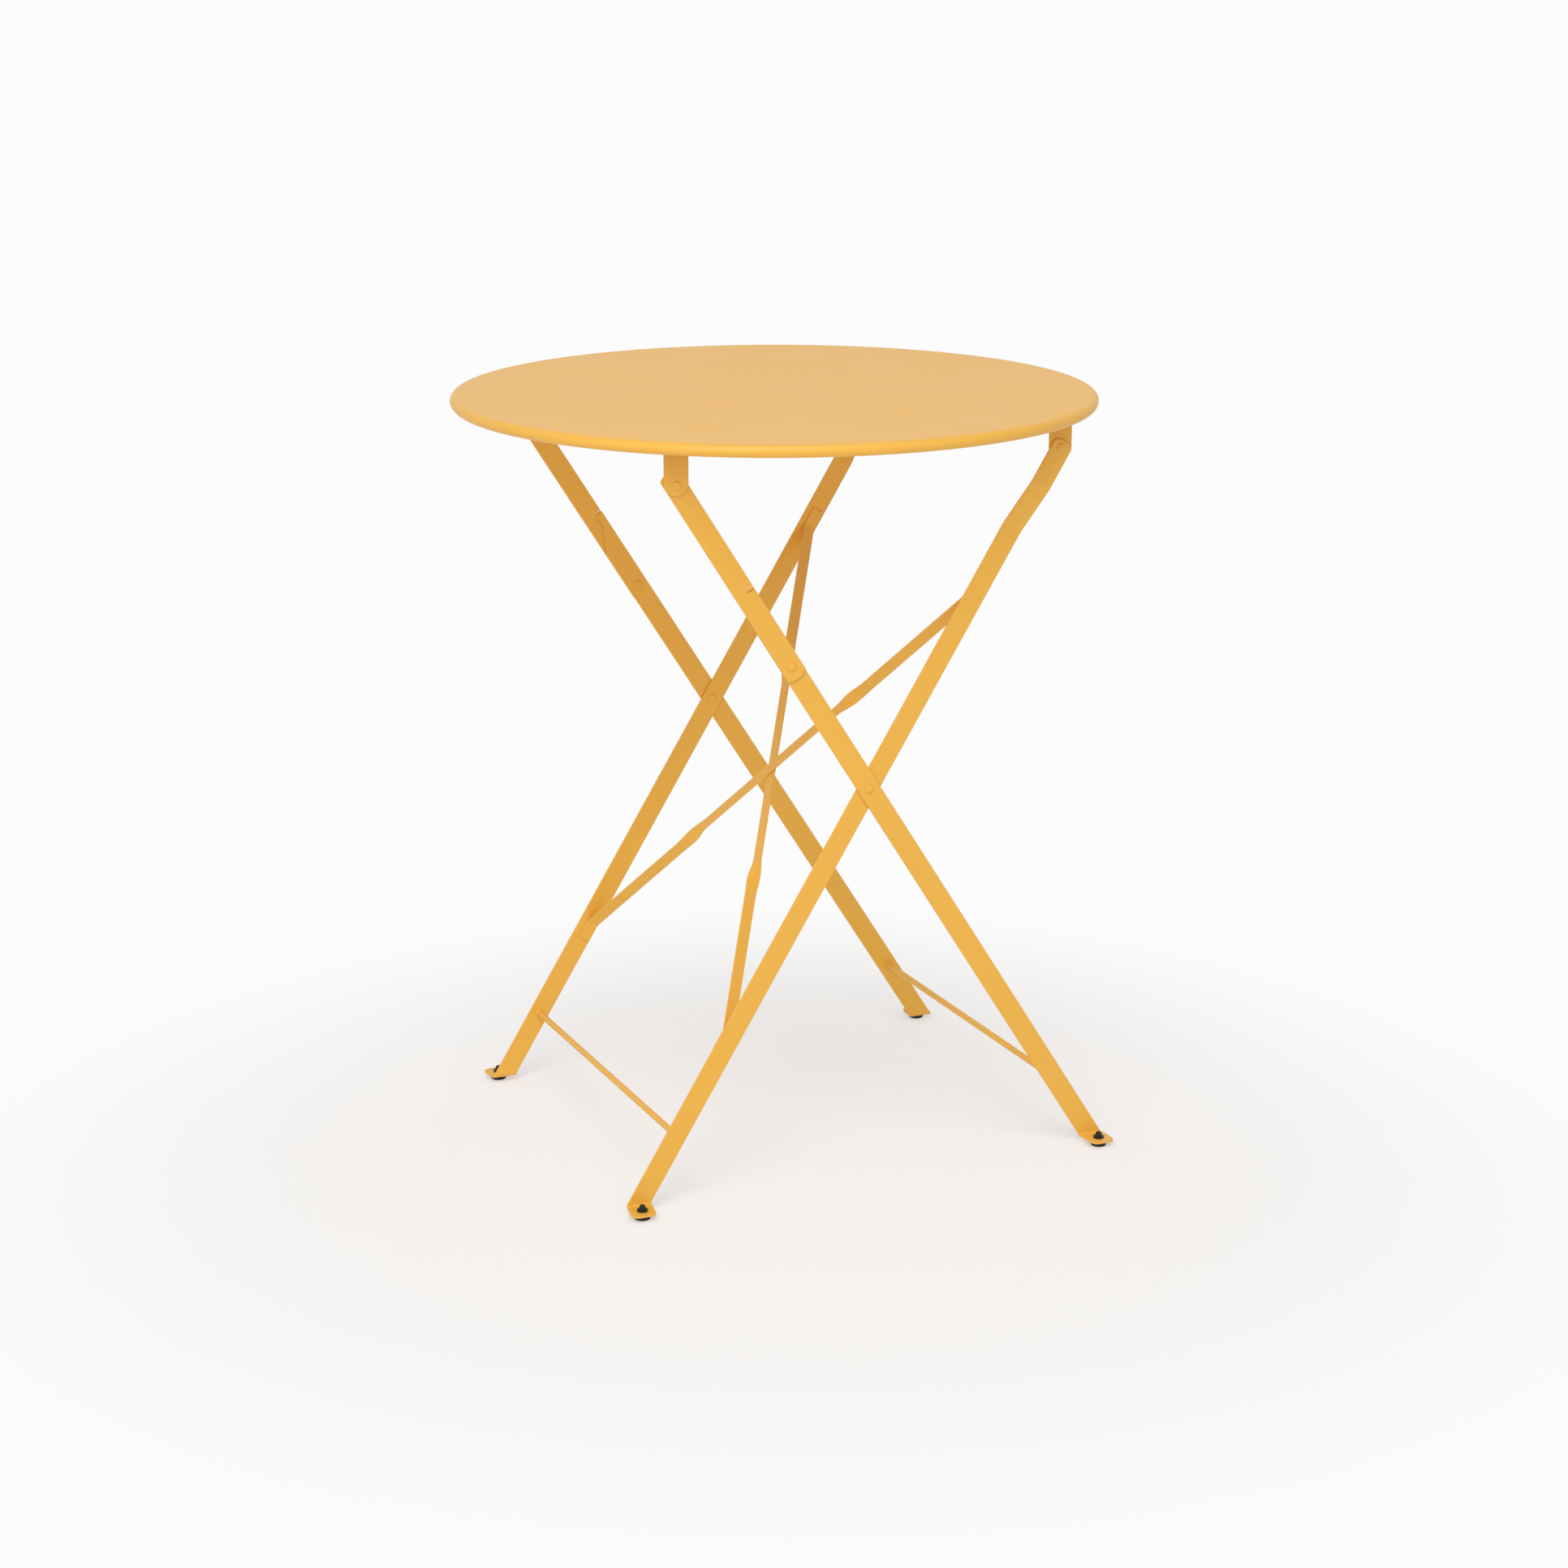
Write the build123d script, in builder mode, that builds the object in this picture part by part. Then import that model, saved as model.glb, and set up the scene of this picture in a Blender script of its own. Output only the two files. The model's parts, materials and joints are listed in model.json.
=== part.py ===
from build123d import *

import os

# Round folding bistro table of flat steel bar, opened and standing. Millimetres, +Z up.
# The origin is on the floor, straight below the centre of the top. X runs across the two
# crossed frames and Y runs along their pivots. The near side is -Y, and the far side mirrors it.

# Tabletop: a steel sheet whose edge is rolled under.
top_diameter = 600.0
table_height = 713.0
sheet_thickness = 1.2
rim_height = 11.5
rim_lip = 5.0

# Flat bar of the legs and links.
bar_width = 20.0
bar_thickness = 2.0
bar_gap = 0.2
layer_pitch = bar_thickness + bar_gap
frame_half_width = 186.0

# Pivot centres in the XZ plane, and how far the knee is from the crossing.
cross_pivot = Vector(12.2, 0, 375.8)
left_pivot = Vector(-175.2, 0, 668.8)
right_pivot = Vector(198.0, 0, 676.4)
knee_distance = 144.5

# Bar ends: how far an end reaches past its pivot, and the rise of its arc.
link_end_reach = 13.2
leg_end_reach = 7.0
end_arc_rise = 3.4

# The joggle carries the inner leg's top end out past the top bracket, four layers out.
joggle_start = 83.0
joggle_end = 39.0
joggle_layers = 4
joggle_radius = 25.0

# Lock: the outer leg's neck ends in a tab that sits in a notch of the upper link.
tab_distance = 228.0
tab_width = 6.8
tab_bend_radius = 1.2
tab_proud = 0.3
notch_depth = 7.0
notch_width = 3.8
neck_taper_start = 188.0
neck_taper_end = 216.0

# Feet: the bar is folded outward into a plate that carries a push-in glide. A leaning bar
# drifts on sideways as it goes round the fold, and the plate's edges may be skewed as well.
plate_bottom = 5.2
plate_reach = 26.5
foot_bend_radius = 2.0
foot_bend_steps = 8
inner_fold_drift = 0.8
inner_plate_skew = 0.16
outer_fold_drift = 3.0
outer_plate_skew = 0.03
plate_corner_radius = 7.0
glide_offset = 14.5
glide_hole_radius = 3.0
glide_disc_radius = 7.4
glide_stem_radius = 2.95
glide_barb_radius = 5.0
glide_barb_height = 1.8
glide_dome_height = 4.6
glide_edge_radius = 1.0
glide_clearance = 0.05

# Round rods that tie each pair of legs near the floor.
rod_radius = 3.0
inner_rod_distance = 361.0
outer_rod_distance = 364.0

# Diagonal braces of narrow strip between the two inner legs.
brace_width = 12.0
brace_thickness = 1.5
brace_middle = -30.0
brace_corner = 226.0
brace_tab = 19.0
brace_low_offset = 3.5
brace_high_offset = -2.0
brace_cross_offset = 1.7
brace_bend_radius = 7.0
twist_start = 100.0
twist_end = 144.0
twist_steps = 14
bend_steps = 4

# Straps under the top, bent down at both ends into ears.
ear_width = 22.6
ear_reach = 9.2
ear_arc_rise = 8.6
strap_bend_radius = 3.0
ear_layer = 3

# Rivets.
rivet_radius = 2.5
rivet_hole_radius = 2.55
rivet_head_radius = 4.2
rivet_head_height = 1.3
rivet_head_edge = 0.35
rivet_play = 0.05

# Directions and planes shared by the pieces of the near side.
outward = Vector(0, -1, 0)
up = Vector(0, 0, 1)
inner_up = (right_pivot - cross_pivot).normalized()
outer_up = (left_pivot - cross_pivot).normalized()
inner_length = (right_pivot - cross_pivot).length
outer_length = (left_pivot - cross_pivot).length
knee_pivot = cross_pivot + outer_up * knee_distance
inner_face = Plane(origin=cross_pivot, x_dir=inner_up, z_dir=outward)
outer_face = Plane(origin=cross_pivot, x_dir=outer_up, z_dir=outward)
inner_side = Plane(origin=cross_pivot, x_dir=inner_up, z_dir=inner_up.cross(outward))
outer_side = Plane(origin=cross_pivot, x_dir=outer_up, z_dir=outer_up.cross(outward))
through = 400.0
half_bar = bar_thickness / 2
fold_height = plate_bottom + bar_thickness + foot_bend_radius
fold_depth = half_bar + foot_bend_radius


def layer(count):
    """Distance from the middle of the table to the middle of a bar so many layers out."""
    return frame_half_width + count * layer_pitch


class BarOutline(BaseSketchObject):
    """A bar seen square on, along X, with its far end, or both ends, bulging in an arc."""

    def __init__(self, start, end, width, end_rise, start_rise=0.0, mode=Mode.ADD):
        half = width / 2
        with BuildSketch() as outline:
            with BuildLine():
                Line((start, half), (end - end_rise, half))
                ThreePointArc((end - end_rise, half), (end, 0), (end - end_rise, -half))
                Line((end - end_rise, -half), (start, -half))
                if start_rise > 0:
                    ThreePointArc((start, -half), (start - start_rise, 0), (start, half))
                else:
                    Line((start, -half), (start, half))
            make_face()
        super().__init__(obj=outline.sketch, align=None, mode=mode)


class FoldedFoot(BasePartObject):
    """The folded foot of a leg: the bend, and the plate with its hole for the glide.

    X runs along the fold, and Y outward from the middle of the bar."""

    def __init__(self, width, drift, skew, mode=Mode.ADD):
        half = width / 2
        far_shift = drift + skew * (plate_reach - fold_depth)
        near_edge = [(drift - half, fold_depth), (drift + half, fold_depth)]
        far_edge = [(far_shift + half, plate_reach), (far_shift - half, plate_reach)]
        with BuildPart() as foot:
            for step in range(foot_bend_steps + 1):
                turned = step / foot_bend_steps
                across = Vector(0, -1, 0).rotate(Axis.X, 90 * turned)
                centre = Vector(drift * turned, fold_depth, fold_height) + across * fold_depth
                along = Vector(1, 0, 0).cross(across)
                with BuildSketch(Plane(origin=centre, x_dir=(1, 0, 0), z_dir=along)):
                    Rectangle(width, bar_thickness)
            loft(ruled=True)
            with BuildSketch(Plane.XY.offset(plate_bottom)) as plate:
                with BuildLine():
                    Polyline(*near_edge, *far_edge, close=True)
                make_face()
                fillet(plate.vertices().group_by(Axis.Y)[-1], radius=plate_corner_radius)
                with Locations((glide_shift(drift, skew), glide_offset)):
                    Circle(glide_hole_radius, mode=Mode.SUBTRACT)
            extrude(amount=bar_thickness)
        super().__init__(part=foot.part, align=None, mode=mode)


class DomedRivet(BasePartObject):
    """A rivet along Z whose grip starts at zero, with a low domed head at one end or both."""

    def __init__(self, grip, start_head=True, end_head=True, mode=Mode.ADD):
        heads = [(0, -1)] * start_head + [(grip, 1)] * end_head
        with BuildPart() as rivet:
            Cylinder(rivet_radius, grip, align=(Align.CENTER, Align.CENTER, Align.MIN))
            for seat, facing in heads:
                rim = seat + facing * rivet_head_edge
                crown = seat + facing * rivet_head_height
                with BuildSketch(Plane.XZ):
                    with BuildLine():
                        TangentArc((0, crown), (rivet_head_radius, rim), tangent=(1, 0))
                        Polyline((rivet_head_radius, rim), (rivet_head_radius, seat), (0, seat), (0, crown))
                    make_face()
                revolve(axis=Axis.Z)
        super().__init__(part=rivet.part, align=None, mode=mode)


def glide_shift(drift, skew):
    """How far a glide is along the fold from the middle of its leg."""
    return drift + skew * (glide_offset - fold_depth)


def along_bar(direction, height):
    """The point of a leg's centre line at a height above the floor."""
    return cross_pivot + direction * ((height - cross_pivot.Z) / direction.Z)


def foot_plane(direction, count):
    """Plane of a foot: X away from the table's right, Y outward, Z up from the floor."""
    at_fold = along_bar(direction, fold_height)
    return Plane(origin=(at_fold.X, -layer(count), 0), x_dir=(-1, 0, 0), z_dir=up)


def side_plane(pivot, distance):
    """Plane square to the pivots, at a distance out on the near side, facing outward."""
    return Plane(origin=(pivot.X, -distance, pivot.Z), x_dir=(1, 0, 0), z_dir=outward)


def hole_sketch(pivot, radius):
    """A round hole's circle at a pivot, on the middle plane of the table."""
    with BuildSketch(Plane(origin=pivot, x_dir=(1, 0, 0), z_dir=outward)) as hole:
        Circle(radius)
    return hole.sketch


def section_width(direction):
    """Width along X of a leaning bar cut level."""
    return bar_width / direction.Z


pieces = {}


def keep(name, part):
    """Labels a finished piece and keeps it for writing."""
    part.label = name
    pieces[name] = part


# Tabletop: disc and rolled rim as one strip of sheet, turned about the middle.
rim_radius = rim_height / 2
rim_centre = (top_diameter / 2 - rim_radius, table_height - rim_radius)
inner_rim_radius = rim_radius - sheet_thickness
with BuildPart() as tabletop:
    with BuildSketch(Plane.XZ):
        with BuildLine():
            rim_outside = CenterArc(rim_centre, rim_radius, -90, 180)
            rim_inside = CenterArc(rim_centre, inner_rim_radius, -90, 180)
            lip_end = (rim_centre[0] - rim_lip, table_height - rim_height)
            Polyline(rim_outside @ 1, (0, table_height), (0, table_height - sheet_thickness), rim_inside @ 1)
            Polyline(rim_outside @ 0, lip_end, (lip_end[0], lip_end[1] + sheet_thickness), rim_inside @ 0)
        make_face()
    revolve(axis=Axis.Z)
keep("tabletop", tabletop.part)

# Straps: a flat bar under the sheet along Y, bent down at each end into a rounded ear.
strap_top = table_height - sheet_thickness
ear_outside = layer(ear_layer) + half_bar
ear_inside = ear_outside - bar_thickness
for name, pivot in (("left_top_strap", left_pivot), ("right_top_strap", right_pivot)):
    ear_bottom = pivot.Z - ear_reach
    with BuildPart() as strap:
        with BuildSketch(Plane.YZ.offset(pivot.X - ear_width / 2)):
            with BuildLine():
                strap_outside = FilletPolyline(
                    (-ear_outside, ear_bottom),
                    (-ear_outside, strap_top),
                    (ear_outside, strap_top),
                    (ear_outside, ear_bottom),
                    radius=strap_bend_radius + bar_thickness,
                )
                strap_inside = FilletPolyline(
                    (-ear_inside, ear_bottom),
                    (-ear_inside, strap_top - bar_thickness),
                    (ear_inside, strap_top - bar_thickness),
                    (ear_inside, ear_bottom),
                    radius=strap_bend_radius,
                )
                Line(strap_outside @ 0, strap_inside @ 0)
                Line(strap_outside @ 1, strap_inside @ 1)
            make_face()
        extrude(amount=ear_width)
        with BuildSketch(Plane(origin=pivot, x_dir=-up, z_dir=outward)):
            BarOutline(pivot.Z - strap_top, ear_reach, ear_width, ear_arc_rise)
        extrude(amount=through, both=True, mode=Mode.INTERSECT)
        extrude(hole_sketch(pivot, rivet_hole_radius), amount=through, both=True, mode=Mode.SUBTRACT)
    keep(name, strap.part)

# Inner leg: its top end is joggled outward past the bracket, and its foot is folded out.
joggle_foot = inner_length - joggle_start
joggle_head = inner_length - joggle_end
inner_top = inner_length + leg_end_reach
inner_bottom = -cross_pivot.Z / inner_up.Z
with BuildPart() as inner_leg_near:
    with BuildLine(inner_side) as inner_run:
        FilletPolyline(
            (inner_bottom, layer(0)),
            (joggle_foot, layer(0)),
            (joggle_head, layer(joggle_layers)),
            (inner_top + bar_width, layer(joggle_layers)),
            radius=joggle_radius,
        )
    with BuildSketch(Plane(origin=inner_run.line @ 0, x_dir=inner_side.z_dir, z_dir=inner_up)):
        Rectangle(bar_width, bar_thickness)
    sweep(path=inner_run.line)
    with BuildSketch(inner_face):
        BarOutline(inner_bottom, inner_top, bar_width, end_arc_rise)
    extrude(amount=through, both=True, mode=Mode.INTERSECT)
    split(bisect_by=Plane.XY.offset(fold_height), keep=Keep.TOP)
    with Locations(foot_plane(inner_up, 0)):
        FoldedFoot(section_width(inner_up), inner_fold_drift, inner_plate_skew)
    for pivot in (cross_pivot, right_pivot):
        extrude(hole_sketch(pivot, rivet_hole_radius), amount=through, both=True, mode=Mode.SUBTRACT)
keep("inner_leg_near", inner_leg_near.part)

# Outer leg: above the knee it goes on as a neck that tapers to the lock's tab.
tab_top = tab_distance + half_bar
bend_start = tab_top - bar_thickness - tab_bend_radius
tab_edge = -bar_width / 2 + tab_width
outer_bottom = -cross_pivot.Z / outer_up.Z
tab_reach = layer(2) + half_bar + tab_proud
with BuildPart() as outer_leg_near:
    with BuildSketch(outer_face.offset(layer(1) - half_bar)):
        with BuildLine():
            Polyline(
                (outer_bottom, -bar_width / 2),
                (bend_start, -bar_width / 2),
                (bend_start, tab_edge),
                (neck_taper_end, tab_edge),
                (neck_taper_start, bar_width / 2),
                (outer_bottom, bar_width / 2),
                close=True,
            )
        make_face()
    extrude(amount=bar_thickness)
    with BuildSketch(outer_side.offset(-tab_edge)):
        with BuildLine():
            bend_centre = (bend_start, layer(1) + half_bar + tab_bend_radius)
            tab_outside = CenterArc(bend_centre, tab_bend_radius + bar_thickness, -90, 90)
            tab_inside = CenterArc(bend_centre, tab_bend_radius, -90, 90)
            Line(tab_outside @ 0, tab_inside @ 0)
            Polyline(
                tab_outside @ 1,
                (tab_top, tab_reach),
                (tab_top - bar_thickness, tab_reach),
                tab_inside @ 1,
            )
        make_face()
    extrude(amount=tab_width)
    split(bisect_by=Plane.XY.offset(fold_height), keep=Keep.TOP)
    with Locations(foot_plane(outer_up, 1)):
        FoldedFoot(section_width(outer_up), -outer_fold_drift, -outer_plate_skew)
    for pivot in (cross_pivot, knee_pivot):
        extrude(hole_sketch(pivot, rivet_hole_radius), amount=through, both=True, mode=Mode.SUBTRACT)
keep("outer_leg_near", outer_leg_near.part)

# Upper link: from the knee to the left bracket, notched for the tab in its inner edge.
with BuildPart() as upper_link_near:
    with BuildSketch(outer_face.offset(layer(2) - half_bar)):
        BarOutline(
            knee_distance - link_end_reach + end_arc_rise,
            outer_length + link_end_reach,
            bar_width,
            end_arc_rise,
            end_arc_rise,
        )
        notch_middle = -bar_width / 2 + notch_depth / 2
        with Locations((tab_distance, notch_middle)):
            Rectangle(notch_width, notch_depth, mode=Mode.SUBTRACT)
    extrude(amount=bar_thickness)
    for pivot in (knee_pivot, left_pivot):
        extrude(hole_sketch(pivot, rivet_hole_radius), amount=through, both=True, mode=Mode.SUBTRACT)
keep("upper_link_near", upper_link_near.part)

# Tie rods, welded between the inner faces of each pair of legs.
for name, direction, distance, count in (
    ("inner_foot_rod", inner_up, inner_rod_distance, 0),
    ("outer_foot_rod", outer_up, outer_rod_distance, 1),
):
    rod_centre = cross_pivot - direction * distance
    with BuildPart() as rod:
        with BuildSketch(Plane(origin=rod_centre, x_dir=(1, 0, 0), z_dir=outward)):
            Circle(rod_radius)
        extrude(amount=layer(count) - half_bar, both=True)
    keep(name, rod.part)


# Braces: two equal narrow strips that cross between the inner legs. Each has a tab flat on a leg
# at both ends, runs on edge from there, and has a quarter twist on either side of the crossing,
# so that the two strips lie flat on each other where they cross.
brace_face = layer(0) - half_bar - brace_thickness / 2
with BuildLine() as brace_run:
    FilletPolyline(
        (-brace_corner - brace_tab, -brace_face),
        (-brace_corner, -brace_face),
        (brace_corner, brace_face),
        (brace_corner + brace_tab, brace_face),
        radius=brace_bend_radius,
    )
brace_path = brace_run.wire()
middle_station = brace_path.length / 2
tab_straight, bend_length = (edge.length for edge in brace_run.edges().sort_by(Axis.X)[:2])
half_span = middle_station - tab_straight
twist_length = twist_end - twist_start
half_stations = [0.0]
half_stations += [tab_straight + bend_length * step / bend_steps for step in range(bend_steps + 1)]
twist_from = middle_station - twist_end
half_stations += [twist_from + twist_length * step / twist_steps for step in range(twist_steps + 1)]
stations = half_stations + [2 * middle_station - station for station in reversed(half_stations)]


def brace_section(station):
    """Plane of a brace's section, with X along its width, so far along from its low end.

    The strip leans a little across the legs from its low tab to its high one. It is set aside
    between its two twists, where the other strip lies against it."""
    from_middle = station - middle_station
    climbed = min(max((from_middle + half_span) / (2 * half_span), 0), 1)
    lean = brace_low_offset + (brace_high_offset - brace_low_offset) * climbed
    turned = min(max((twist_end - abs(from_middle)) / twist_length, 0), 1)
    turned = turned**2 * (3 - 2 * turned)
    along = brace_path % (station / brace_path.length)
    centre = brace_path @ (station / brace_path.length) + Vector(0, 0, lean - brace_cross_offset * turned)
    width_dir = Vector(0, 0, 1).rotate(Axis(origin=(0, 0, 0), direction=along), -90 * turned)
    return Plane(origin=centre, x_dir=width_dir, z_dir=along)


brace_centre = cross_pivot + inner_up * brace_middle
for name, facing in (("brace_near_high", 1), ("brace_far_high", -1)):
    brace_frame = Plane(origin=brace_centre, x_dir=inner_up, z_dir=inner_side.z_dir * facing)
    with BuildPart() as brace:
        for station in stations:
            with BuildSketch(Plane(brace_frame * brace_section(station).location)):
                Rectangle(brace_width, brace_thickness)
        loft(ruled=True)
    keep(name, brace.part)

# Glides: a hard disc under each foot plate, with a barbed stem pushed up through its hole.
plate_top = plate_bottom + bar_thickness
barb_bottom = plate_top + glide_clearance
barb_top = barb_bottom + glide_barb_height
stem_top = barb_top + glide_dome_height
dome_start = stem_top - glide_stem_radius
for name, direction, count, shift in (
    ("left_glide_near", inner_up, 0, glide_shift(inner_fold_drift, inner_plate_skew)),
    ("right_glide_near", outer_up, 1, -glide_shift(outer_fold_drift, outer_plate_skew)),
):
    seat = foot_plane(direction, count).from_local_coords((shift, glide_offset, 0))
    with BuildPart() as glide:
        with BuildSketch(Plane(origin=seat, x_dir=(1, 0, 0), z_dir=outward)):
            with BuildLine():
                Polyline(
                    (0, 0),
                    (glide_disc_radius, 0),
                    (glide_disc_radius, plate_bottom),
                    (glide_stem_radius, plate_bottom),
                    (glide_stem_radius, barb_bottom),
                    (glide_barb_radius, barb_bottom),
                    (glide_barb_radius, barb_top),
                    (glide_stem_radius, barb_top),
                    (glide_stem_radius, dome_start),
                )
                TangentArc((glide_stem_radius, dome_start), (0, stem_top), tangent=(0, 1))
                Line((0, stem_top), (0, 0))
            make_face()
        revolve(axis=Axis(origin=seat, direction=up))
        disc_edge = glide.edges().filter_by(GeomType.CIRCLE).group_by(Axis.Z)[0]
        fillet(disc_edge, radius=glide_edge_radius)
    keep(name, glide.part)

# Rivets. Each goes through two neighbouring bars, with a low domed head on either side.
for name, pivot, count in (
    ("cross_rivet_near", cross_pivot, 0),
    ("knee_rivet_near", knee_pivot, 1),
    ("left_top_rivet_near", left_pivot, 2),
):
    start = layer(count) - half_bar - rivet_play
    grip = bar_thickness + layer_pitch + 2 * rivet_play
    with BuildPart(side_plane(pivot, start)) as rivet:
        DomedRivet(grip)
    keep(name, rivet.part)

# The right pivot is where the linkage is opened, so its rivet is two halves that meet there.
middle = layer(ear_layer) + layer_pitch / 2
half_grip = bar_thickness + bar_gap / 2 + rivet_play
with BuildPart(side_plane(right_pivot, middle - half_grip)) as ear_rivet:
    DomedRivet(half_grip, end_head=False)
keep("right_top_rivet_ear_half_near", ear_rivet.part)
with BuildPart(side_plane(right_pivot, middle)) as leg_rivet:
    DomedRivet(half_grip, start_head=False)
keep("right_top_rivet_leg_half_near", leg_rivet.part)

# The far side is the near side mirrored.
for name in [name for name in pieces if name.endswith("_near")]:
    with BuildPart() as far_piece:
        mirror(pieces[name], about=Plane.XZ)
    keep(name.removesuffix("near") + "far", far_piece.part)

os.makedirs("parts", exist_ok=True)
for name, part in pieces.items():
    export_step(part, f"parts/{name}.step")
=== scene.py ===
"""Folding bistro table of powder-coated flat bar, dressed around its CAD frame."""

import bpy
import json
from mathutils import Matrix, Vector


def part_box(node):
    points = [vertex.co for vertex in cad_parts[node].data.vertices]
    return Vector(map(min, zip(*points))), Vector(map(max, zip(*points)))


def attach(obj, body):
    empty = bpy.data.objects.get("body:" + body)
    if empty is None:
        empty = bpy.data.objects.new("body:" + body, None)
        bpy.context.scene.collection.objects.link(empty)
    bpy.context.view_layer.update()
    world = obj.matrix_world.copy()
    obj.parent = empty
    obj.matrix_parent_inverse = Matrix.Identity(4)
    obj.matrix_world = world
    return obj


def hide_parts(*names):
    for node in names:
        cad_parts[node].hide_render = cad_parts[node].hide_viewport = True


bl_info = {
    "name": "Bistro table",
    "version": (1, 0, 0),
    "blender": (4, 5, 0),
    "location": "3D Viewport > Sidebar > Bistro Table",
    "description": "Makes the pieces, coat and studio of a folding bistro table",
    "category": "Add Mesh",
}

import json
import math

import bmesh
import bpy
from bpy.props import FloatProperty, FloatVectorProperty, IntProperty, PointerProperty
from mathutils import Matrix, Vector

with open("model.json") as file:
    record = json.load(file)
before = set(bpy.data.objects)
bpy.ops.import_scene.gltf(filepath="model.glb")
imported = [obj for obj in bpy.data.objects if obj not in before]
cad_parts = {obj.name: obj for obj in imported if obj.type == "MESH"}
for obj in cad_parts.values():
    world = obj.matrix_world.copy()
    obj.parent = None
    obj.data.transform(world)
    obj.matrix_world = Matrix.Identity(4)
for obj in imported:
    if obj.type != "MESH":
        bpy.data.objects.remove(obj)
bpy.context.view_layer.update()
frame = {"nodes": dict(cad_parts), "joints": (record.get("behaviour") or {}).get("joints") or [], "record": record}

COAT_SLOT = "yellow_powder_coat"
PLASTIC_SLOT = "black_plastic"
OUTWARD = {"near": Vector((0, -1, 0)), "far": Vector((0, 1, 0))}
QUARTER_TURN = math.pi / 2
WHITE = (1, 1, 1, 1)

# Meshes. Vertices closer than the merge distance become one. Faces that meet at less than the flat
# angle become one, and edges sharper than the sharp angle are rounded.
MERGE_DISTANCE = 2e-6
FLAT_ANGLE = math.radians(0.4)
SHARP_ANGLE = math.radians(38)
EDGE_SEGMENTS = 2
FLAT_FACE_WEIGHT = 80
BEND_STEPS = 12
BEAD_STEPS = 12
BEAD_NOISE_SCALE = 300.0

# Materials. Sizes and depths are in metres, and shares are of the colour that the settings give.
# A range is the part of a noise that is spread over the whole effect.
CLOUD_SIZE = 0.09
CLOUD_RANGE = (0.3, 0.7)
CLOUD_SHARES = (0.985, 1.015)
FLECK_SIZE = 0.0011
FLECK_RANGE = (0.66, 0.80)
FLECK_STRENGTH = 0.12
FLECK_SHARE = 0.78
GLOSS_RANGE = (0.25, 0.75)
GLOSS_SPREAD = 0.03
COAT_IOR = 1.5
BUMP_STRENGTH = 0.5
LEATHER_SIZE = 0.0006
LEATHER_DEPTH = 0.00004
WEAR_SIZE = 0.004
WEAR_RANGE = (0.3, 0.7)
WEAR_SHARES = (0.8, 1.5)
PLASTIC_ROUGHNESS = (0.42, 0.58)
PLASTIC_SPECULAR = 0.3


def joint_place(name):
    """The centre of a joint of the frame, on the middle plane of the table."""
    joint = next(joint for joint in frame["joints"] if joint["name"] == name)
    return Vector(joint["pos_m"])


def box_middle(node):
    """The middle of a CAD node's box."""
    low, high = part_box(node)
    return (low + high) / 2


CROSS_PIVOT = joint_place("leg_fold")
RIGHT_PIVOT = box_middle("right_top_rivet_leg_half_near") * Vector((1, 0, 1))
INNER_UP = (RIGHT_PIVOT - CROSS_PIVOT).normalized()


# Settings that a user would change.


class CoatSettings(bpy.types.PropertyGroup):
    """Powder coat on the steel, and the plastic of the glides."""

    coat_colour: FloatVectorProperty(
        name="Coat colour",
        description="Colour of the powder coat",
        subtype="COLOR",
        size=3,
        min=0,
        max=1,
        default=(0.84, 0.45, 0.059),
    )
    coat_roughness: FloatProperty(
        name="Coat roughness",
        description="Middle roughness of the satin coat",
        subtype="FACTOR",
        min=0,
        max=1,
        default=0.42,
    )
    coat_specular: FloatProperty(
        name="Coat specular level",
        description="How strongly the satin coat reflects",
        subtype="FACTOR",
        min=0,
        max=1,
        default=0.42,
    )
    peel_size: FloatProperty(
        name="Orange peel size",
        description="Width of the coat's slow ripples",
        unit="LENGTH",
        default=0.005,
    )
    peel_depth: FloatProperty(
        name="Orange peel depth",
        description="Height of the coat's slow ripples",
        unit="LENGTH",
        default=0.00002,
    )
    plastic_colour: FloatVectorProperty(
        name="Glide colour",
        description="Colour of the moulded glides",
        subtype="COLOR",
        size=3,
        min=0,
        max=1,
        default=(0.007, 0.007, 0.0075),
    )


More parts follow.
